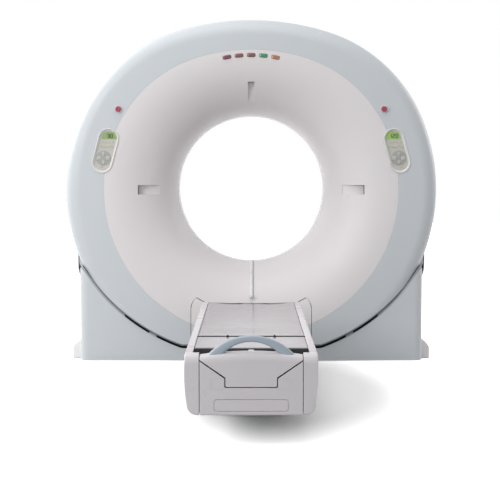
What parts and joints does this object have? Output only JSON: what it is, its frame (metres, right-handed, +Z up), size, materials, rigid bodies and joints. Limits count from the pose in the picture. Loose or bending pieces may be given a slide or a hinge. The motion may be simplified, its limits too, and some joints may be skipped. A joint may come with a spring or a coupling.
{
  "type": "ct scanner",
  "caption": "Computed tomography scanner: a tilting ring gantry on a floor base, with a rotor inside and a lifting patient couch whose table slides into the bore.",
  "frame": {"origin": "on the floor straight below the isocentre, where the tilt axis and the rotation axis cross", "axes": "+Y along the bore away from the couch, +Z up, +X to the right seen from the couch end"},
  "size_m": [2.228, 3.46, 2.044],
  "materials": {
    "painted_steel": "satin",
    "cast_frame": "painted",
    "bearing_steel": "ground",
    "bush_bronze": "turned",
    "shell_white": "satin gloss",
    "shell_blue_grey": "satin gloss",
    "couch_shell": "satin gloss",
    "table_laminate": "polished",
    "dark_trim": "matt",
    "belt_rubber": "matt",
    "clear_film": "clear",
    "laser_glass": "polished",
    "display_glass": "polished",
    "key_plastic": "satin",
    "bezel_plastic": "satin",
    "stop_red": "gloss",
    "lamp_lens": "clear",
    "aluminium": "satin",
    "copper_alloy": "turned",
    "cabinet_grey": "satin",
    "motor_black": "satin"
  },
  "bodies": {
    "base": {"base_frame": "painted_steel", "stand_left": "painted_steel", "stand_right": "painted_steel", "pivot_bushes": "bush_bronze", "tilt_gearbox": "motor_black", "base_cover_left": "shell_blue_grey", "base_cover_right": "shell_blue_grey", "side_feet": "shell_blue_grey", "couch_base_plate": "painted_steel", "couch_base_cover": "dark_trim", "lower_pins": "bearing_steel"},
    "gantry": {"tilt_frame": "cast_frame", "trunnions": "bearing_steel", "bearing_outer_race": "bearing_steel", "drive_motor": "motor_black", "drive_belt": "belt_rubber", "brush_block": "cabinet_grey", "front_ring_cover": "shell_blue_grey", "front_flared_cover": "shell_white", "dock_panel": "shell_white", "seam_trim": "aluminium", "bore_window": "clear_film", "laser_windows": "laser_glass", "panel_bezels": "bezel_plastic", "displays": "display_glass", "keypads": "key_plastic", "stop_collars": "bezel_plastic", "indicator_lamps": "lamp_lens", "top_cover": "shell_blue_grey", "upper_side_cover_left": "shell_blue_grey", "upper_side_cover_right": "shell_blue_grey", "rear_ring_cover": "shell_blue_grey", "rear_flared_cover": "shell_white"},
    "stop_left": {"stop_button_left": "stop_red"},
    "stop_right": {"stop_button_right": "stop_red"},
    "rotor": {"rotor_drum": "aluminium", "bearing_inner_race": "bearing_steel", "xray_tube": "cabinet_grey", "collimator": "aluminium", "detector": "aluminium", "hv_generator": "cabinet_grey", "power_unit": "cabinet_grey", "tube_cooler": "aluminium", "slip_ring": "copper_alloy", "counterweights": "bearing_steel"},
    "pulley": {"motor_pulley": "aluminium"},
    "arm_front": {"lift_arm_front": "painted_steel"},
    "arm_rear": {"lift_arm_rear": "painted_steel"},
    "couch": {"couch_frame": "painted_steel", "upper_pins": "bearing_steel", "couch_side_cover_left": "couch_shell", "couch_side_cover_right": "couch_shell", "couch_end_cover": "couch_shell", "table_rails": "aluminium"},
    "table": {"tabletop": "table_laminate", "foot_plate": "table_laminate", "carriage": "aluminium", "table_end_trim": "dark_trim", "table_end_cover": "couch_shell", "table_handle": "couch_shell"}
  },
  "joints": [
    {"name": "gantry_tilt", "type": "hinge", "parent": "base", "child": "gantry", "pos_m": [0, 0, 1.03], "axis": [1, 0, 0], "range_deg": [-30, 30]},
    {"name": "rotor_spin", "type": "hinge", "parent": "gantry", "child": "rotor", "pos_m": [0, 0, 1.03], "axis": [0, 1, 0], "continuous": true},
    {"name": "pulley_spin", "type": "hinge", "parent": "gantry", "child": "pulley", "pos_m": [-0.63993, 0.06, 0.39007], "axis": [0, 1, 0], "continuous": true},
    {"name": "stop_left_press", "type": "slide", "parent": "gantry", "child": "stop_left", "axis": [0, 1, 0], "range_m": [0, 0.005], "stiffness_N_per_m": 600, "springref_m": -0.004},
    {"name": "stop_right_press", "type": "slide", "parent": "gantry", "child": "stop_right", "axis": [0, 1, 0], "range_m": [0, 0.005], "stiffness_N_per_m": 600, "springref_m": -0.004},
    {"name": "couch_lift", "type": "hinge", "parent": "base", "child": "arm_front", "pos_m": [0, -1.18, 0.088], "axis": [-1, 0, 0], "range_deg": [0, 45]},
    {"name": "couch_level", "type": "hinge", "parent": "arm_front", "child": "couch", "pos_m": [0, -2.02534, 0.17685], "axis": [-1, 0, 0], "range_deg": [-45, 0]},
    {"name": "rear_arm_lift", "type": "hinge", "parent": "base", "child": "arm_rear", "pos_m": [0, -1.68, 0.088], "axis": [-1, 0, 0], "range_deg": [0, 45]},
    {"name": "table_slide", "type": "slide", "parent": "couch", "child": "table", "axis": [0, 1, 0], "range_m": [0, 1.1]}
  ],
  "couplings": [
    {"joint": "pulley_spin", "follows": "rotor_spin", "ratio": 14.545},
    {"joint": "couch_level", "follows": "couch_lift", "ratio": -1},
    {"joint": "rear_arm_lift", "follows": "couch_lift", "ratio": 1},
    {"joint": "table_slide", "follows": "couch_lift", "m_per_rad": 1.4}
  ]
}
